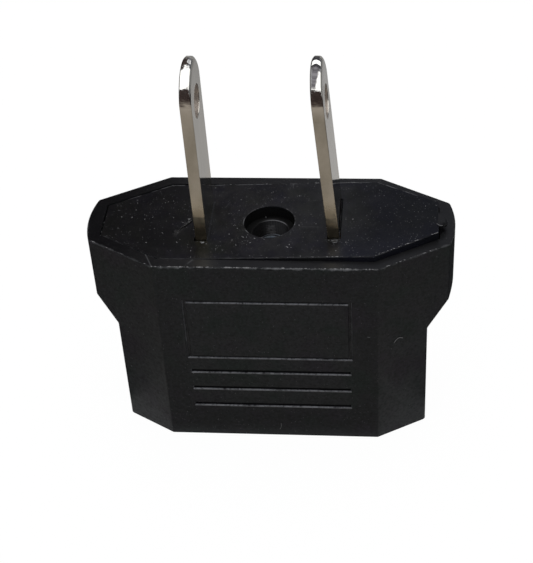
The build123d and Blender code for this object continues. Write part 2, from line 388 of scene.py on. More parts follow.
front_board = lying((-SIDE_FAR, FRONT_FAR), (SIDE_FAR, FRONT_NEAR))
board("grey_board", front_board, GREY_BOARD, FRONT_CHANGE, DARK_CLOTH)
board("left_board", lying((-SIDE_FAR, FRONT_NEAR), (-SIDE_NEAR, BACK_MIDDLE)), SIDE_BOARD)
board("right_board", lying((SIDE_NEAR, FRONT_NEAR), (SIDE_FAR, BACK_MIDDLE)), SIDE_BOARD)
near_back = lying((-SIDE_NEAR, BACK_NEAR), (SIDE_NEAR, BACK_MIDDLE))
board("back_board", near_back, BACK_BOARD, BACK_CHANGE, FAR_BOARD)
far_back = lying((-SIDE_FAR, BACK_MIDDLE), (SIDE_FAR, BACK_FAR))
board("far_board", far_back, BACK_BOARD, BACK_CHANGE, FAR_BOARD)
board("far_cloth", hanging((-SIDE_FAR, BACK_FAR), (SIDE_FAR, BACK_FAR), 0, 130), FAR_BOARD)
board("front_cloth", hanging((-SIDE_FAR, FRONT_FAR), (SIDE_FAR, FRONT_FAR), 0, 325), DARK_CLOTH)
board("back_cloth", hanging((-70, 450), (-520, 250), 60, 700), DARK_CLOTH)
print("boards from", FRONT_FAR, "to", BACK_FAR, "mm")

# %% [markdown]
# ## Where an edge is
#
# A worn edge is lighter than the face beside it. Blender can find edges by the shape of the mesh, but
# these meshes have long thin facets that would upset it. From above, the rim is an octagon that is the
# same on all four quarters, so the distance from its outline is the least of three simple distances.

# %% Distance from an outline
HALF_LENGTH, HALF_DEPTH, RIM_HEIGHT = (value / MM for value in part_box("housing")[1])
FRONT_HALF = 10.6
END_HALF = 3.2
END_BOW = 0.5
COVER_INSET = 1.3
COVER_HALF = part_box("cover_plate")[1][0] / MM

slant = (HALF_LENGTH - END_BOW - FRONT_HALF, HALF_DEPTH - END_HALF)
SLANT_NORMAL = (slant[1] / math.hypot(*slant), slant[0] / math.hypot(*slant))


def long_sides(finish, x, y):
    """How far a place lies inside the long and slanting sides of the rim, in millimetres."""
    front = HALF_DEPTH - y
    return finish.least(front, SLANT_NORMAL[0] * (FRONT_HALF - x) + SLANT_NORMAL[1] * front)


def rim_inset(finish, x, y):
    """How far inside the outline of the rim a place lies."""
    x, y = abs(x), abs(y)
    return finish.least(long_sides(finish, x, y), HALF_LENGTH - x - (y * (1 / END_HALF)) ** 2 * END_BOW)


def cover_inset(finish, x, y):
    """How far inside the outline of the cover plate a place lies."""
    x, y = abs(x), abs(y)
    return finish.least(long_sides(finish, x, y) - COVER_INSET, COVER_HALF - x)


print("rim half sizes in mm:", round(HALF_LENGTH, 2), round(HALF_DEPTH, 2), "at", round(RIM_HEIGHT, 2))

# %% [markdown]
# ## Marks that several finishes share
#
# Dust and lint lie on everything that has been in a drawer. A Voronoi texture cuts space into cells; a
# small ball round the middle of some cells, at random sizes, gives specks that the surface slices
# through. A scratch is a line between two places, and noise can push it about so that it isn't ruled.

# %% Specks and scratches
def specks(finish, scale, size, share, seed):
    """Round specks up to a size in millimetres, in a share of the cells of a Voronoi texture."""
    shifted = finish.vector("ADD", finish.place, (seed, seed, seed))
    distance = finish.node("ShaderNodeTexVoronoi", {}, {"Vector": shifted, "Scale": scale})
    chance, bulk, _ = finish.xyz(distance.other("Color"))
    radius = (bulk ** 2 * 0.75 + 0.25) * (size * scale)
    return finish.fade(chance, share + 0.01, share) * finish.fade(distance, radius, radius * 0.5)


def scratch(finish, u, v, start, end, width, wander=None):
    """1 on a line from start to end in the plane of u and v, and 0 away from it."""
    du, dv = end[0] - start[0], end[1] - start[1]
    length = math.hypot(du, dv)
    du, dv = du / length, dv / length
    along = (u - start[0]) * du + (v - start[1]) * dv
    across = (v - start[1]) * du - (u - start[0]) * dv
    if wander:
        across = across + wander
    inside = finish.fade(along, 0, width) * finish.fade(along, length, length - width)
    return inside * finish.fade(abs(across), width / 2, width / 5)


print("marks: specks and scratches")

# %% [markdown]
# ## Black plastic of the housing
#
# The housing is moulded in black plastic. Its sides keep the fine grain of the mould, its rim is
# smoother, and the sharp edge of the rim is rubbed pale and carries a painted highlight. Black plastic is
# never one flat black: the grain breaks up the reflections, handling leaves cloudy patches, and dust settles
# on it. So the colour is painted in layers, each with a mask of its own, from the moulded black up to the
# dust. Some layers are painted light and shade: lighter slanting sides, shade in the floors of the sunk
# lines and under the flash, and highlights on the lips of the sunk lines.

# %% Sunk lines of the housing
FACE_DRAFT = math.tan(math.radians(0.2))
LINES_HALF = 8.9
LINES_TOP = 18.7
FRAME_SIDE = 7.66
FRAME_FOOT = 10.7


def sunk_lines(skin):
    """Masks of the sunk lines: all, floors for painted shade, the frame's uprights, lips for painted
    highlights.
    """
    x, y, z = skin.xyz()
    facing = skin.facing()
    sunk = HALF_DEPTH - (RIM_HEIGHT - z) * FACE_DRAFT - abs(y)
    groove = skin.fade(sunk, 0.02, 0.06) * skin.fade(abs(x), LINES_HALF + 0.1, LINES_HALF)
    groove = groove * skin.fade(z, LINES_TOP + 0.1, LINES_TOP)
    shaded_floor = groove * skin.fade(sunk, 0.15, 0.21)
    upright = skin.fade(abs(x), FRAME_SIDE, FRAME_SIDE + 0.08) * skin.fade(z, FRAME_FOOT, FRAME_FOOT + 0.3)
    lit = skin.fade(facing[2], 0.3, 0.7) + skin.fade(facing[0] * x, -3, -6) * 0.35
    return groove, shaded_floor, upright * groove, (groove - shaded_floor) * lit


print("sunk lines up to", LINES_TOP, "mm above the table")

# %% Housing
MIDDLE_CREASE = ((0.03, -5.95), (0.64, -5.85))
LEFT_CREASE = ((-7.37, -6.63), (-6.71, -5.9))
CORNER_CREASE = ((-11.49, -5.16), (-10.6, -7.1))
FLASH_SHADOW_LINE = ((16.25, -1.2), (17.12, -0.95))
EDGE_NICK = ((0.15, 22.32), (0.95, 22.22))
FLASH_CENTRE = (16.15, -0.35)
HOUSING_DUST = [(0.8, 0.09, 0.6, 1), (1.9, 0.055, 0.6, 7), (3.2, 0.035, 0.6, 13)]


def housing_plastic():
    """Grained sides, a smoother rim with a rubbed, highlighted edge, sunk lines with painted shade and
    highlights.
    """
    skin = Finish("housing_plastic")
    x, y, z = skin.xyz()
    facing = skin.facing()
    up = facing[2]
    top = skin.fade(up, 0.6, 0.9)
    cloud = skin.noise(0.2, 4, 0.6)
    patch = skin.noise(0.9, 3, 0.6, seed=2)
    grain = skin.noise(3.2, 3, 0.6)
    pores = skin.noise(4.5, 2, 0.5, seed=12)
    hue = skin.noise(0.22, 3, 0.6, seed=21)
    ragged = skin.noise(1.3, 5, 0.7, seed=3)
    tone = skin.noise(0.5, 4, 0.65, seed=5)
    wander = ragged - 0.5
    broken = tone * 0.5 + ragged * 0.5

    # The edge of the rim, rubbed pale with a painted highlight in a band of changing width, brighter along
    # the front, and creases on its face
    edge = skin.most(rim_inset(skin, x, y), RIM_HEIGHT - z)
    band = skin.most(ragged - 0.34, 0.002)
    straight = skin.fade(abs(x), FRONT_HALF + 0.1, FRONT_HALF - 0.3)
    wear_and_highlight = skin.fade(edge, band, 0) * (0.4 + straight * 0.6) * skin.fade(broken, 0.38, 0.62)
    creases = scratch(skin, x, y, *CORNER_CREASE, 0.16)
    creases = creases + scratch(skin, x, y, *LEFT_CREASE, 0.2, wander * 0.4)
    creases = creases + scratch(skin, x, y, *MIDDLE_CREASE, 0.2, wander * 0.4)
    pale = skin.least(wear_and_highlight + creases * top * 0.3, 1)
    nick = scratch(skin, x, z, *EDGE_NICK, 0.26, wander * 0.3) * skin.fade(y, -6.8, -7)

    # Sunk lines with painted shade in their floors and painted highlights on their lips, the slanting sides
    # painted lighter, the lighter middle of the front, and painted shadow under the flash and along its edge
    groove, shaded_floor, upright, lip = sunk_lines(skin)
    lip_highlight = lip * skin.fade(broken, 0.32, 0.56) * skin.fade(pores, 0.2, 0.55)
    slanting = skin.fade(abs(facing[0]), 0.2, 0.4) * skin.fade(z, 24, 4)
    front_middle = skin.fade(abs(x), 9.5, 7) * skin.fade(z, 20, 17.5) * skin.fade(z, 3, 6) * skin.fade(y, -6.5, -7)
    # painted shadow on the rim under the flash, and painted shade on the flash's outer edge
    flash_shadow = scratch(skin, x, y, *FLASH_SHADOW_LINE, 0.65, wander * 0.3) * top
    ring = ((x - FLASH_CENTRE[0]) ** 2 + (y - FLASH_CENTRE[1]) ** 2 * 0.6) ** 0.5
    flash_edge_shade = skin.fade(ring, 0.6, 0.85) * skin.fade(z, 22.8, 22.9)
    shade = skin.least(shaded_floor * (0.1 + ragged * 0.4) + flash_shadow + flash_edge_shade * 0.6, 1)
    dust = sum(specks(skin, *kind) for kind in HOUSING_DUST)

    moulded = skin.mix(cloud, (0.0082, 0.0089, 0.0093), (0.0126, 0.0135, 0.0139))
    colour = skin.paint(moulded, [
        # painted light: the slanting sides are lighter, more so towards the bottom
        (slanting * 0.9, (0.0165, 0.0176, 0.0180)),
        # the middle of the front is a little lighter
        (front_middle * 0.5, (0.0155, 0.0162, 0.0164)),
        (skin.fade(hue, 0.5, 0.66) * 0.8, (0.0124, 0.0110, 0.0138)),
        (skin.fade(hue, 0.5, 0.34) * 0.8, (0.0086, 0.0124, 0.0108)),
        (skin.fade(grain, 0.4, 0.68) * 0.6, (0.0054, 0.0058, 0.0060)),
        (skin.fade(pores, 0.52, 0.72) * 0.5, (0.0190, 0.0200, 0.0204)),
        (top * 0.95, (0.0011, 0.0011, 0.0015)),
        # painted shade: the floors of the sunk lines, the shadow under the flash and the flash's outer edge
        (shade, (0.0010, 0.0010, 0.0010)),
        # painted light: the floors of the frame's uprights are lighter
        (upright * skin.fade(ragged, 0.35, 0.55) * 0.8, (0.022, 0.022, 0.022)),
        (nick * 0.8, (0.0020, 0.0020, 0.0021)),
        # worn pale edge with a painted highlight on it, and pale creases
        (pale * (1 - nick), (0.090, 0.092, 0.094)),
        # painted highlight on the lips of the sunk lines
        (skin.least(lip_highlight, 1), (0.145, 0.148, 0.156)),
        (skin.least(dust, 1) * 0.5, (0.17, 0.17, 0.17)),
    ])
    roughness = 0.48 + (cloud - 0.5) * 0.25 + (patch - 0.5) * 0.2 + (grain - 0.5) * 0.25 - top * 0.08
    gloss = skin.fade(up, 0.15, 0.6) * (0.9 + (cloud - 0.5) * 0.8) * (1 - skin.least(groove + flash_shadow, 1))
    gloss = gloss * (0.12 + skin.fade(x, -16, -6) * 0.68 + skin.fade(y, -4, -6) * 0.2)
    gloss = gloss * skin.fade(edge, 0.02, 0.2) * (1 - flash_edge_shade * 0.6) * (1 - skin.fade(x, 12, 15.5) * 0.2)
    normal = skin.bump(grain, 0.8, 0.02)
    normal = skin.bump(ragged, 0.4, 0.05, normal)
    return skin.surface(
        Base_Color=colour, Roughness=roughness, Specular_IOR_Level=0.08,
        Coat_Weight=gloss, Coat_Roughness=0.34, Coat_IOR=1.45, Normal=normal,
    )


def report(material):
    """Prints how many nodes a finish took."""
    print(material.name, "has", len(material.node_tree.nodes), "nodes")


housing_finish = housing_plastic()
report(housing_finish)

# %% [markdown]
# ## Black plastic of the cover plate
#
# The plate comes from another mould, polished, so it is glossier and takes a cold tint from the room. It
# has lain face up: its dust, smears and scratches show more than anywhere else. Its screw hole is part of
# the same solid, so its marks are masks by the distance from the middle of the hole: the dark mouth, the
# rings of the bore with a painted highlight down its back, a painted glow on the back of the mouth, and
# painted highlights on the step and on the brim.

# %% Screw hole of the cover
KINK = -7.5
COVER_SEAT = RIM_HEIGHT - 0.03
COVER_RISE = math.tan(math.radians(1.9))
SCREW_Y = -0.35
MOUTH_RADIUS = 2.5
MOUTH_TOP = (22.6, 22.45)
BORE_RADIUS = 1.85
BORE_TOP = (21.6, 21.45)


def cover_top(x):
    """Height of the cover's face, which is level left of its kink and climbs right of it."""
    return COVER_SEAT + max(0, x - KINK) * COVER_RISE


def screw_hole(skin, rings):
    """Masks of the hole, mouth, bore and brim highlight, and colour layers with painted light; the axis leans
    with the plate.
    """
    x, y, z = skin.xyz()
    radius = ((x - (cover_top(0) - z) * COVER_RISE) ** 2 + (y - SCREW_Y) ** 2) ** 0.5
    hole = skin.fade(radius, MOUTH_RADIUS + 0.05, MOUTH_RADIUS - 0.05) * skin.fade(z, *MOUTH_TOP)
    bore = skin.fade(radius, BORE_RADIUS + 0.05, BORE_RADIUS - 0.05) * skin.fade(z, *BORE_TOP)
    mouth = hole * (1 - bore)
    brim_highlight = skin.fade(abs(radius - MOUTH_RADIUS - 0.02), 0.07, 0.02)
    brim_highlight = brim_highlight * 0.7 * (1 - skin.fade(y, -0.8, -1.6) * skin.fade(x, -0.6, 0.6) * 0.85)
    crescent_light = skin.fade(radius, 2.3, BORE_RADIUS) * mouth * skin.fade(abs(x), 1.8, 0) * skin.fade(y, 0, 1)
    centre = skin.fade(abs(x + 0.05), 0.9, 0.1) * skin.fade(z, 21.2, 20.6)
    lit_bore = bore * skin.fade(rings - 0.1 + centre * 0.3 - skin.fade(x, 0.3, 0.8) * 0.1, 0.55, 0.8)
    step = skin.fade(abs(radius - BORE_RADIUS - 0.01), 0.08, 0.03) * skin.fade(z, 21.7, 21.5)
    step = step * skin.fade(x, -1.1, 0.2) * skin.fade(x, 1.8, 1.2) * skin.fade(y, 0, 0.8)
    # painted light in the hole: a glow on the back of the mouth, a highlight down the bore and one on the
    # step
    layers = [
        (crescent_light * 0.5, (0.040, 0.040, 0.042)),
        (bore, (0.0105, 0.0098, 0.0102)),
        (bore * skin.fade(rings, 0.5, 0.35) * 0.7, (0.0040, 0.0038, 0.0040)),
        (lit_bore, (0.075, 0.073, 0.074)),
        (step, (0.11, 0.11, 0.115)),
    ]
    return hole, mouth, bore, brim_highlight, layers


print("cover's face in mm:", round(cover_top(KINK), 2), "to", round(cover_top(COVER_HALF), 2))

# %% Cover plate
CRACK_LINE = ((-7.4, 0.25), (-8.35, -1.15))
TORN_LINE = ((-7.6, 0.2), (-8.5, -1.1))
TORN_END = ((-8.3, -1.1), (-9.2, -2.6))
RIGHT_SCRATCH = ((3.1, -1.2), (5.2, -1.3))
LEFT_SCRATCH = ((-4.6, 1.9), (-4.1, 3.0))
COVER_DUST = [(1.1, 0.09, 0.6, 3), (2.4, 0.065, 0.75, 11), (4.2, 0.06, 0.9, 17)]


def cover_plastic():
    """Smooth black with smears, dust, a crack beside the left blade and a dark screw hole."""
    skin = Finish("cover_plastic")
    x, y, _ = skin.xyz()
    up = skin.facing()[2]
    top = skin.fade(up, 0.6, 0.9)
    cloud = skin.noise(0.28, 4, 0.55, seed=2)
    smear = skin.noise(0.8, 4, 0.6, seed=6)
    grain = skin.noise(9, 3, 0.6)
    hue = skin.noise(0.45, 3, 0.6, seed=23)
    ragged = skin.noise(1.5, 5, 0.7, seed=8)
    stretch = skin.noise(0.5, 3, 0.6, stretch=(1, 0.1, 0.1), seed=31)
    rings = skin.noise(2.6, 4, 0.65, stretch=(0.8, 0.8, 3), seed=14)
    wander = ragged - 0.5
    drawn_out = stretch + wander * 0.9

    # The edge, rubbed and given a painted highlight along the front and the slanting sides, with dashes of
    # painted highlight at the back
    edge = cover_inset(skin, x, y)
    band = skin.most((ragged - 0.38) * 0.6, 0.002)
    ends = skin.fade(abs(x), COVER_HALF - 0.05, COVER_HALF - 0.3)
    wear_and_highlight = skin.fade(edge, band, 0) * skin.fade(up, 0.2, 0.5) * ends
    broken = 1 - skin.fade(x, -9.5, -10.5) * skin.fade(ragged, 0.58, 0.46)
    dash_highlights = skin.fade(edge, 0.18, 0.08) * skin.fade(y, 3, 4) * skin.fade(drawn_out, 0.4, 0.56) * ends

    # The crack with its torn edge, scratches and dust
    crack = scratch(skin, x, y, *CRACK_LINE, 0.3, wander * 0.3)
    torn_end = scratch(skin, x, y, *TORN_END, 0.5, (smear - 0.5) * 0.9) * skin.fade(grain, 0.4, 0.6)
    torn = scratch(skin, x, y, *TORN_LINE, 0.14, wander * 0.3) + torn_end
    lines = scratch(skin, x, y, *RIGHT_SCRATCH, 0.1) + scratch(skin, x, y, *LEFT_SCRATCH, 0.1)
    dust = sum(specks(skin, *kind) for kind in COVER_DUST)

    # The screw hole, with a painted highlight on its brim, broken in places
    hole, mouth, bore, brim_highlight, hole_layers = screw_hole(skin, rings)
    brim_highlight = brim_highlight * top * skin.fade(drawn_out, 0.44, 0.66)

    polished = skin.mix(cloud, (0.0014, 0.0015, 0.0019), (0.0034, 0.0036, 0.0043))
    colour = skin.paint(polished, [
        (skin.fade(hue, 0.5, 0.65) * 0.8, (0.0022, 0.0021, 0.0056)),
        (skin.fade(hue, 0.5, 0.35) * 0.8, (0.0034, 0.0040, 0.0025)),
        (skin.fade(smear, 0.35, 0.7) * 0.4, (0.0064, 0.0061, 0.0066)),
        # painted shade and reflection: the left end darker, the right end darker and bluer, a lighter bluish
        # sheen at the front right
        (skin.fade(x, -5, -12) * 0.6, (0.0012, 0.0012, 0.0016)),
        (skin.fade(x, 6, 13) * 0.65, (0.0013, 0.0017, 0.0034)),
        (skin.fade(x, 4, 9) * skin.fade(y, -1, -5) * 0.5, (0.0056, 0.0062, 0.0112)),
        # worn edge of the cover with a painted highlight on it
        (wear_and_highlight * broken * skin.fade(smear, 0.3, 0.6), (0.026, 0.026, 0.027)),
        # painted highlights: dashes along the back edge and the brim of the screw hole
        (skin.least(dash_highlights + brim_highlight, 1), (0.10, 0.10, 0.104)),
        (skin.least(dust * top + lines * 0.3, 1) * 0.6, (0.14, 0.14, 0.145)),
        (skin.least(crack + mouth, 1), (0.0018, 0.0018, 0.0018)),
        (skin.least(torn, 1) * 0.45, (0.09, 0.09, 0.086)),
        *hole_layers,
    ])
    roughness = 0.35 + (cloud - 0.5) * 0.1 + (smear - 0.5) * 0.1
    roughness = roughness + skin.fade(edge, 0.12, 0.02) * 0.5 + hole * 0.5 + crack * 0.5
    gloss = skin.most(0.62 + skin.fade(cloud, 0.32, 0.68) * 0.6 + (smear - 0.5) * 0.9, 0.68)
    gloss = gloss * (0.28 + skin.fade(x, -13, -5) * 0.5) * (1 - skin.fade(x, 4, 12) * 0.8)
    gloss = gloss * skin.fade(edge, 0.02, 0.14) * (1 - hole) * (1 - skin.least(crack, 1) * 0.9)
    normal = skin.bump(grain, 0.5, 0.006)
    normal = skin.bump(ragged, 0.4, 0.03, normal)
    normal = skin.bump(rings * bore, 0.4, 0.03, normal)
    return skin.surface(
        Base_Color=colour, Roughness=roughness, Specular_IOR_Level=0.12,
        Coat_Weight=gloss, Coat_Roughness=0.28, Coat_IOR=1.45, Normal=normal,
    )


cover_finish = cover_plastic()
report(cover_finish)

# %% [markdown]
# ## Nickel plate of the blades
#
# The blades are stamped from brass strip and plated with nickel. Their broad faces keep the smooth skin
# of the strip. The narrow edges are sheared and tumbled, so they are a little lumpy, and the highlight on
# the round tip breaks up. The tip is painted lighter, with a painted glint across its crown and a patch
# painted darker where the highlight breaks. Near the plate the plating is duller, painted brown for the
# table that it mirrors and darker at the foot for the shade there. The narrow edge and the tip are one
# band, so its normal is turned back to the middle of the blade, which keeps the mirror image in one piece
# across it.

# %% Blades
BLADE_X = 6.35
BLADE_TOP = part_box("left_blade")[1][2] / MM
HOLE_HEIGHT = BLADE_TOP - 4.25
HOLE_EDGE = (1.62, 1.5)
TIP = (BLADE_TOP - 4.52, BLADE_TOP - 2.52)
CROWN = (BLADE_TOP - 1.52, BLADE_TOP - 1.12)
EDGE_RADIUS = 0.15
TO_THE_MIDDLE = (0.12, 1, 1)
FORWARD = (0, -0.45, 0)


def blade_nickel(name, foot_x, lean, glint_from, glint_y, glint_tone, dimmed):
    """Plating of the blade that stands at foot_x and leans to the left by some degrees."""
    skin = Finish(name)
    x, y, z = skin.xyz()
    side = x - foot_x + (z - RIM_HEIGHT) * math.tan(math.radians(lean))
    turn = abs(skin.facing()[0])
    broad = skin.fade(turn, 0.6, 0.9)
    flank = skin.fade(turn, 0.8, 0.95)
    narrow = 1 - broad
    tip = skin.fade(z, *TIP)
    crown = skin.fade(z, *CROWN)
    lumps = skin.noise(0.8, 1.5, 0.5, seed=4)
    smear = skin.noise(0.7, 4, 0.6, stretch=(1, 1, 0.5), seed=9)
    shear = skin.noise(1.2, 4, 0.6, stretch=(0.5, 0.5, 5))
    rolled = skin.noise(2.2, 3, 0.6, stretch=(1, 3, 0.25), seed=1)
    worn = skin.noise(0.9, 4, 0.65, stretch=(1, 1, 0.35), seed=17)
    spots = specks(skin, 1.2, 0.12, 0.25, 5)
    hole = skin.fade((y ** 2 + (z - HOLE_HEIGHT) ** 2) ** 0.5, *HOLE_EDGE)
    wander = smear - 0.5

    # The tip: a painted glint across its crown, and left of it a patch that is rougher and painted darker
    # where the highlight breaks
    glint = skin.fade(abs(y - glint_y + wander * 0.4), 0.36, 0.26) * crown * narrow
    glint = glint * skin.fade(side, glint_from, glint_from + 0.2)
    ridge = skin.fade(y, -1.25, -1.1) * skin.fade(y, -0.4, -0.52)
    dimmed_patch = skin.fade(side + wander * 0.8 - (z - CROWN[1]) * 0.35, 0.15, -0.1)
    dimmed_patch = skin.least(dimmed_patch + ridge, 1) * crown * (1 - flank) * dimmed
    greyed = skin.mix(skin.fade(shear, 0.3, 0.7), (0.05, 0.047, 0.05), (0.13, 0.125, 0.13))

    # The foot, painted darker as shade near the plate, and a rougher, lumpier band above it
    foot_shade = skin.fade(z + wander * 3.0, 25.4, 23.5) * narrow
    low = skin.fade(z + wander * 2.0, 28.0, 25.0) * narrow

    plated = skin.mix(skin.fade(smear, 0.25, 0.75), (0.335, 0.325, 0.285), (0.455, 0.445, 0.405))
    colour = skin.paint(plated, [
        # painted light: the tip lighter, the glint across the crown, and the patch darkened where the
        # highlight breaks
        (tip * narrow * 0.8, (0.62, 0.61, 0.58)),
        (dimmed_patch, greyed),
        (glint, glint_tone),
        (broad * 0.5, (0.28, 0.28, 0.27)),
        (broad * skin.fade(worn, 0.42, 0.72) * 0.3, (0.18, 0.178, 0.17)),
        # painted brown reflection of the table, low on the blade
        (skin.fade(z, 29, 23.5) * 0.75, (0.40, 0.35, 0.24)),
        # painted shade at the foot
        (foot_shade, (0.18, 0.155, 0.11)),
        (hole * 0.6, (0.22, 0.15, 0.11)),
        (spots * 0.5, (0.12, 0.10, 0.08)),
    ])
    roughness = 0.08 + narrow * 0.04 + wander * 0.1 + (shear - 0.5) * 0.06
    roughness = roughness + dimmed_patch * 0.25 + low * 0.24 + hole * 0.25
    height = narrow * (shear * (0.06 + tip * 0.1) + lumps * (tip * 1.8 + low * 2.2 + 0.15))
    height = height + broad * (rolled * 0.03 + lumps * 0.08)

    # The normal of the narrow band, turned to the middle, and tipped forward where the glint is
    bent = skin.round_edges(EDGE_RADIUS)
    level = skin.vector("MULTIPLY", bent, TO_THE_MIDDLE)
    level = skin.node("ShaderNodeMix", {"data_type": "VECTOR"}, {0: flank, 4: level, 5: bent}, out=1)
    level = skin.vector("ADD", level, skin.vector("SCALE", FORWARD, glint))
    level = skin.vector("NORMALIZE", level)
    return skin.surface(
        Base_Color=colour, Metallic=1 - hole * 0.5, Roughness=roughness, Specular_Tint=(0.9, 0.89, 0.87),
        Normal=skin.bump(height, 1.0, 0.1, level),
    )


left_finish = blade_nickel("left_blade_nickel", -BLADE_X, 0.8, 0.0, 0.12, (0.16, 0.16, 0.16), 0.0)
right_finish = blade_nickel("right_blade_nickel", BLADE_X, 4.3, -0.9, -0.16, (0.6, 0.6, 0.57), 1.0)
report(left_finish)
report(right_finish)

# %% [markdown]
# ## The other metals
#
# The screw is bright zinc-plated steel, and only a sliver of its head shows in the hole. The clips and
# rivets inside show only through the pin holes, so one plain metal with a little tarnish does for both.

# %% Screw, clips and rivets
screw_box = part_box("cover_screw")
SCREW_RADIUS = (screw_box[1][0] - screw_box[0][0]) / 2 / MM


def plain_metal(name, bright, dimmed_patch, roughness, scale):
    """Bare metal between a bright and a dull tone."""
    skin = Finish(name)
    smear = skin.noise(scale, 4, 0.6)
    grain = skin.noise(scale * 8, 2, 0.5, seed=2)
    return skin.surface(
        Base_Color=skin.mix(skin.fade(smear, 0.3, 0.7), dimmed_patch, bright), Metallic=1.0,
        Roughness=roughness + (smear - 0.5) * 0.2, Normal=skin.bump(grain, 0.5, 0.01),
    )


def screw_steel():
    """Bright zinc plate, with a dark ring and a darker outer band painted on the head's rounded edge as
    shade.
    """
    skin = Finish("screw_steel")
    x, y, _ = skin.xyz()
    smear = skin.noise(1.5, 4, 0.6)
    radius = (x ** 2 + (y - SCREW_Y) ** 2) ** 0.5
    # painted shade and dark reflection on the rounded edge of the head
    ring = skin.fade(abs(radius - SCREW_RADIUS + 0.4), 0.16, 0.1)
    outer = skin.fade(radius, SCREW_RADIUS - 0.3, SCREW_RADIUS - 0.22)
    zinc = skin.mix(skin.fade(smear, 0.3, 0.7), (0.30, 0.35, 0.40), (0.52, 0.58, 0.64))
    colour = skin.paint(zinc, [(outer, (0.12, 0.135, 0.155)), (ring, (0.01, 0.01, 0.012))])
    metal = 1 - skin.least(ring + outer, 1)
    return skin.surface(Base_Color=colour, Metallic=metal, Roughness=0.3 + (smear - 0.5) * 0.2)


bronze = plain_metal("contact_bronze", (0.66, 0.47, 0.24), (0.42, 0.27, 0.13), 0.32, 0.5)
brass = plain_metal("rivet_brass", (0.70, 0.55, 0.28), (0.46, 0.34, 0.16), 0.3, 1.0)
finishes = {
    "housing": housing_finish,
    "cover_plate": cover_finish,
    "cover_screw": screw_steel(),
    "left_blade": left_finish,
    "right_blade": right_finish,
    "left_contact": bronze,
    "right_contact": bronze,
    "contact_rivets": brass,
}
for name, material in finishes.items():
    nodes[name].data.materials.clear()
    nodes[name].data.materials.append(material)
print("finishes:", ", ".join(sorted(m.name for m in set(finishes.values()))))

# %% [markdown]
# ## Flash at the end of the cover
#
# What sets a used part apart from a drawing is small: a tongue of flash at the end of the cover, a lip
# pushed up in front of each blade, a hair, and crumbs of dust. Each is a real little piece, mostly a few
# tenths of a millimetre across, that sits on the face below it. The flash comes first. It squeezed out of
# the mould as a thin uneven sheet that runs on from the face of the cover, so its outline is listed point
# by point, and the Solidify modifier gives it its thickness.

# %% Flash
FLASH = [
    (16.1, 0.72), (16.3, 0.66), (16.55, 0.4), (16.78, 0.06), (17.0, -0.42), (17.08, -0.85),
    (16.98, -1.2), (16.73, -1.45), (16.58, -1.4), (16.44, -1.55), (16.25, -1.42), (16.1, -1.3),
]
FLASH_MIDDLE = (16.3, -0.4)
FLASH_START = 16
FLASH_BEND = 16.6
FLASH_SINK = 0.02
FLASH_DROOP = 0.12
FLASH_THICKNESS = 0.15


def add_piece(name, data, material):
    """A piece from a mesh or a curve, which rides on the part and takes one material."""
    data.materials.append(material)
    piece = bpy.data.objects.new(name, data)
    bpy.context.scene.collection.objects.link(piece)
    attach(piece, "root")
    return piece


def thicken(piece, thickness, offset=-1):
    """Gives a sheet a thickness in millimetres, to its back unless the offset says otherwise."""
    sheet = piece.modifiers.new("thickness", "SOLIDIFY")
    sheet.thickness = thickness * MM
    sheet.offset = offset


flash_level = cover_top(FLASH_START) - FLASH_SINK
flash_points = [(x, y, flash_level - FLASH_DROOP * max(0, x - FLASH_BEND) ** 2) for x, y in FLASH]
flash_points.append((*FLASH_MIDDLE, flash_level))
count = len(FLASH)
flash_faces = [(i, (i + 1) % count, count) for i in range(count)]
flash_mesh = bpy.data.meshes.new("cover_flash")
flash_mesh.from_pydata([Vector(point) * MM for point in flash_points], [], flash_faces)
flash = add_piece("cover_flash", flash_mesh, finishes["housing"])
thicken(flash, FLASH_THICKNESS, offset=1)
print("flash:", count, "faces")

# %% [markdown]
# ## Lips, a scuff and torn flakes
#
# Where a blade was pushed through its slot it scraped up the plastic in front of it: a bright lip on the
# left and a duller scuff on the right. Beside the left blade the cover is cracked, with torn flakes
# standing up along the crack. A lip is made of lumpy beads, which are spheres with their points pushed
# about. A flake is a flat scrap of three points, tilted at random.

# %% Lips and flakes
# Places and half sizes of the beads; the last lip lies on the step in the screw hole
LIPS = [
    ((-6.16, -3.4, COVER_SEAT + 0.03), (0.19, 0.15, 0.10)),
    ((-6.33, -3.3, COVER_SEAT), (0.14, 0.1, 0.06)),
    ((-0.58, 1.9, 21.43), (0.07, 0.11, 0.08)),
]
SCUFF = [
    ((6.4, -3.3, cover_top(6.4) - 0.01), (0.45, 0.22, 0.06)),
    ((6.5, -3.55, cover_top(6.5) - 0.01), (0.32, 0.22, 0.05)),
]
CRACK = [(-7.7, 0.0), (-8.0, -0.5), (-8.3, -1.05), (-8.6, -1.35), (-8.8, -1.8), (-9.05, -2.4)]
FLAKES_PER_STRETCH = 5
FLAKE_SHIFT = (-0.1, 0.08)
FLAKE_REACH = 0.22
FLAKE_RISE = 0.14
FLAKE_THICKNESS = 0.03
luck = random.Random(7)


def stressed_plastic(name, dark, pale, gloss):
    """Black plastic that has gone pale where it was bent."""
    skin = Finish(name)
    tone = skin.noise(3, 4, 0.7, seed=6)
    return skin.surface(
        Base_Color=skin.mix(skin.fade(tone, 0.3, 0.7), dark, pale), Roughness=0.4 + (tone - 0.5) * 0.3,
        Coat_Weight=skin.fade(tone, 0.3, 0.6) * gloss, Coat_Roughness=0.15, Normal=skin.bump(tone, 0.6, 0.03),
    )


def lump(draft, place, size, chance):
    """Adds a lumpy bead at a place, with half sizes along the three axes, all in millimetres."""
    made = bmesh.ops.create_icosphere(draft, subdivisions=2, radius=1)
    for vert in made["verts"]:
        push = chance.uniform(0.8, 1.2)
        vert.co = Vector([p + c * s * push for p, c, s in zip(place, vert.co, size)]) * MM


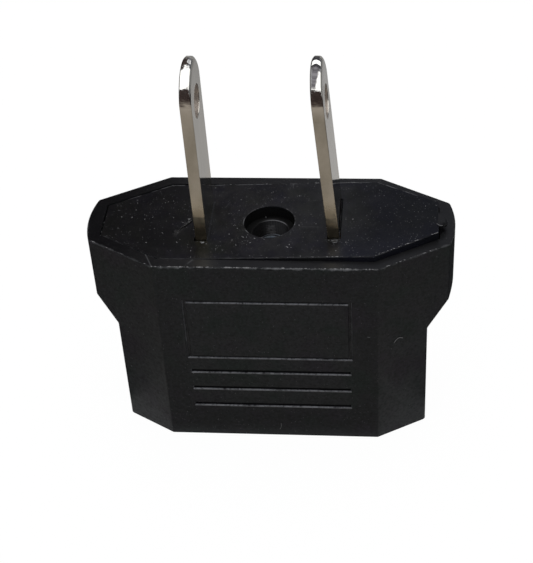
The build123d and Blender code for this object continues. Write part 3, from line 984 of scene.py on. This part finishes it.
def add_beads(name, beads, material):
    """A piece of a few lumpy beads on the cover."""
    draft = bmesh.new()
    for place, size in beads:
        lump(draft, place, size, luck)
    add_piece(name, finished_mesh(name, draft, smooth=True), material)


pale_plastic = stressed_plastic("pale_plastic", (0.02, 0.02, 0.021), (0.16, 0.16, 0.16), 1.0)
grey_plastic = stressed_plastic("grey_plastic", (0.007, 0.007, 0.008), (0.034, 0.034, 0.035), 0.15)
add_beads("slot_lips", LIPS, pale_plastic)
add_beads("slot_scuff", SCUFF, grey_plastic)

flakes = bmesh.new()
for (x0, y0), (x1, y1) in zip(CRACK, CRACK[1:]):
    for _ in range(FLAKES_PER_STRETCH):
        share = luck.random()
        middle_x = x0 + (x1 - x0) * share + FLAKE_SHIFT[0]
        middle_y = y0 + (y1 - y0) * share + FLAKE_SHIFT[1]
        corners = []
        for _ in range(3):
            corner_x = middle_x + luck.uniform(-FLAKE_REACH, FLAKE_REACH)
            corner_y = middle_y + luck.uniform(-FLAKE_REACH, FLAKE_REACH)
            corner_z = COVER_SEAT + luck.uniform(0, FLAKE_RISE)
            corners.append(flakes.verts.new(Vector((corner_x, corner_y, corner_z)) * MM))
        flakes.faces.new(corners)
scraps = add_piece("torn_flakes", finished_mesh("torn_flakes", flakes), grey_plastic)
thicken(scraps, FLAKE_THICKNESS)
print("lips and flakes:", len(scraps.data.polygons), "flakes")

# %% [markdown]
# ## Skin in the slots
#
# Each blade is a push fit in its slot. The plastic that it pressed aside stands as a thin uneven skin
# against its right face, so the left slot is closed there and the right one keeps a narrow crack. A strip
# of small faces whose outer edge wanders at random is enough for it.

# %% Slot skins
SLOT_HALF = 3.1
SKIN_ROWS = 30
SKIN_WANDER = 0.02
SKIN_LIFT = 0.02
SKIN_SWELL = 0.03
SKIN_THICKNESS = 0.06


def slot_skin(name, inner, outer_front, outer_back, sink):
    """A strip along a blade, between two places on X; its outer edge may run at an angle."""
    strip = bmesh.new()
    last_row = None
    for i in range(SKIN_ROWS + 1):
        share = i / SKIN_ROWS
        outer = outer_front + (outer_back - outer_front) * share + luck.uniform(-SKIN_WANDER, SKIN_WANDER)
        row = []
        swell = luck.uniform(0, SKIN_SWELL)
        for x, rise in ((inner, SKIN_LIFT), ((inner + outer) / 2, swell), (outer, 0)):
            place = Vector((x, SLOT_HALF * (2 * share - 1), cover_top(x) - sink + rise))
            row.append(strip.verts.new(place * MM))
        if last_row:
            for j in range(2):
                strip.faces.new((last_row[j], last_row[j + 1], row[j + 1], row[j]))
        last_row = row
    piece = add_piece(name, finished_mesh(name, strip), finishes["cover_plate"])
    thicken(piece, SKIN_THICKNESS)
    print(name, "has", len(piece.data.polygons), "faces")


slot_skin("left_slot_skin", -5.83, -5.66, -5.66, 0)
slot_skin("right_slot_skin", 6.83, 6.91, 6.9, 0.05)

# %% [markdown]
# ## Hairs
#
# Three hairs cling to the sides. Each follows a NURBS curve, so it bends smoothly, and its thickness is
# the curve's own bevel. They could be painted on, but a curve stands out from the face and catches the
# light. The raised lip of the flash is as thin, and is made the same way.

# %% Hair and lint
HAIRS = {
    "hair_on_slant": (0.06, [
        (12.13, -6.29, 12.5), (12.37, -6.17, 12.9), (12.70, -5.97, 12.98), (12.98, -5.81, 12.74),
    ]),
    "hair_on_front": (0.03, [(9.58, -7.125, 13.98), (9.7, -7.13, 13.96), (9.84, -7.125, 13.92)]),
    "hair_at_bottom": (0.03, [(0.7, -7.085, 1.81), (0.78, -7.09, 1.4), (0.56, -7.08, 0.93)]),
}
FLASH_LIP_RISE = 0.12
FLASH_LIP = [(16.05, -1.2), (16.26, -1.46), (16.44, -1.45), (16.6, -1.5)]
HAIRS["flash_lip"] = (0.055, [(x, y, cover_top(FLASH_START) + FLASH_LIP_RISE) for x, y in FLASH_LIP])


def lint_fibre(name, dark, pale):
    """Pale cotton and dust, between two tones."""
    skin = Finish(name)
    tone = skin.noise(6, 3, 0.6)
    return skin.surface(Base_Color=skin.mix(tone, dark, pale), Roughness=0.75 + (tone - 0.5) * 0.3)


def hair(name, thickness, points, material):
    """A fibre through a few control points in millimetres."""
    curve = bpy.data.curves.new(name, "CURVE")
    curve.dimensions = "3D"
    curve.bevel_depth = thickness / 2 * MM
    curve.bevel_resolution = 1
    curve.resolution_u = 8
    spline = curve.splines.new("NURBS")
    spline.points.add(len(points) - 1)
    for control, point in zip(spline.points, points):
        control.co = (*(Vector(point) * MM), 1)
    spline.order_u = 3
    spline.use_endpoint_u = True
    add_piece(name, curve, material)


lint = lint_fibre("lint", (0.05, 0.05, 0.05), (0.14, 0.14, 0.14))
for name, (thickness, points) in HAIRS.items():
    hair(name, thickness, points, lint)
print("hairs:", ", ".join(HAIRS))

# %% [markdown]
# ## Crumbs of dust
#
# Crumbs are icospheres of few faces with their points pushed about, flattened a little and joined into
# one mesh. A third of them fall in clusters, as dust does. The random numbers are seeded, so they fall in
# the same places every time.

# %% Crumbs
CRUMBS = 340
CRUMB_FIELD = (16, 5.8)
CRUMB_LEAST = 0.012
CRUMB_SPREAD = 0.055
CLUSTERS = [
    (-2.6, -3.5), (-4.4, -4.0), (-5.2, 2.9), (1.5, 3.6), (7.8, -4.2),
    (-2.4, 0.8), (4.6, -1.0), (-12, 1.0), (-1.7, -2.75), (-2.3, -3.1),
]
CLEAR_OF_BLADE = (0.8, 3.3)
CLEAR_OF_SCREW = 2.7
dice = random.Random(11)


def crumb_places(number):
    """Random places on the cover that miss the blades and the screw hole."""
    while number:
        x, y = (dice.uniform(-half, half) for half in CRUMB_FIELD)
        if number % 3 == 0:
            middle = dice.choice(CLUSTERS)
            x, y = dice.gauss(middle[0], 0.8), dice.gauss(middle[1], 0.6)
        inside = SLANT_NORMAL[0] * (FRONT_HALF - abs(x)) + SLANT_NORMAL[1] * (HALF_DEPTH - abs(y))
        clear = abs(abs(x) - BLADE_X) > CLEAR_OF_BLADE[0] or abs(y) > CLEAR_OF_BLADE[1]
        if inside > COVER_INSET + 0.2 and clear and math.hypot(x, y - SCREW_Y) > CLEAR_OF_SCREW:
            number -= 1
            yield x, y, cover_top(x)


crumbs = bmesh.new()
for x, y, z in crumb_places(CRUMBS):
    size = CRUMB_LEAST + CRUMB_SPREAD * dice.random() ** 3
    made = bmesh.ops.create_icosphere(crumbs, subdivisions=1, radius=1)
    for vert in made["verts"]:
        push = size * dice.uniform(0.7, 1.25)
        vert.co = Vector((x + vert.co.x * push, y + vert.co.y * push, z + vert.co.z * push * 0.6)) * MM
pale_dust = lint_fibre("pale_dust", (0.05, 0.05, 0.05), (0.28, 0.28, 0.28))
dust = add_piece("crumbs", finished_mesh("crumbs", crumbs), pale_dust)
print("crumbs:", len(dust.data.polygons), "faces")

# %% [markdown]
# ## Burrs along the edges
#
# The sharp edges of the rim and of the cover have been knocked and scraped, and rows of tiny burrs are
# left along them. They are lumps like the lips of the slots, crowded in some places and missing in
# others. A few darker bits are caught in the gap at the left end of the cover.

# %% Burrs
FRONT_Y = HALF_DEPTH - 0.1
END_X = HALF_LENGTH - END_BOW - 0.1
COVER_Y = HALF_DEPTH - COVER_INSET - 0.06
GAP_LEVEL = COVER_SEAT - 0.02
WORN_EDGES = [
    ((-FRONT_HALF, -FRONT_Y, RIM_HEIGHT), (FRONT_HALF, -FRONT_Y, RIM_HEIGHT), 150, 0.075),
    ((-END_X, -END_HALF, RIM_HEIGHT), (-FRONT_HALF, -FRONT_Y, RIM_HEIGHT), 26, 0.06),
    ((FRONT_HALF, -FRONT_Y, RIM_HEIGHT), (END_X, -END_HALF, RIM_HEIGHT), 26, 0.06),
    ((-1, -COVER_Y, cover_top(-1)), (10, -COVER_Y, cover_top(10)), 40, 0.05),
    ((10.2, -5.78, cover_top(10.2)), (16.1, -2.42, cover_top(16.1)), 40, 0.05),
    ((-8, COVER_Y, cover_top(-8)), (9, COVER_Y, cover_top(9)), 30, 0.05),
]
CROWDED = 0.6
LEFT_GAP = [((-COVER_HALF, -2.5, GAP_LEVEL), (-COVER_HALF, -0.2, GAP_LEVEL), 12, 0.06)]


def burrs_along(draft, start, end, number, size):
    """Lumps along a straight edge, on its inner side, in a few crowds."""
    crowds = [dice.random() for _ in range(max(3, number // 8))]
    for _ in range(number):
        share = dice.random()
        if dice.random() < CROWDED:
            share = min(1, max(0, dice.choice(crowds) + dice.gauss(0, 0.02)))
        bulk = size * (0.3 + 0.7 * dice.random() ** 2)
        middle = [a + (b - a) * share for a, b in zip(start, end)]
        lump(draft, middle, (bulk * dice.uniform(1, 2.5), bulk, bulk * 0.6), dice)


def add_burrs(name, edges, material):
    """A piece of burrs along several edges."""
    draft = bmesh.new()
    for edge in edges:
        burrs_along(draft, *edge)
    piece = add_piece(name, finished_mesh(name, draft, smooth=True), material)
    print(name, "has", len(piece.data.polygons), "faces")


add_burrs("rim_burrs", WORN_EDGES, pale_plastic)
add_burrs("gap_bits", LEFT_GAP, grey_plastic)
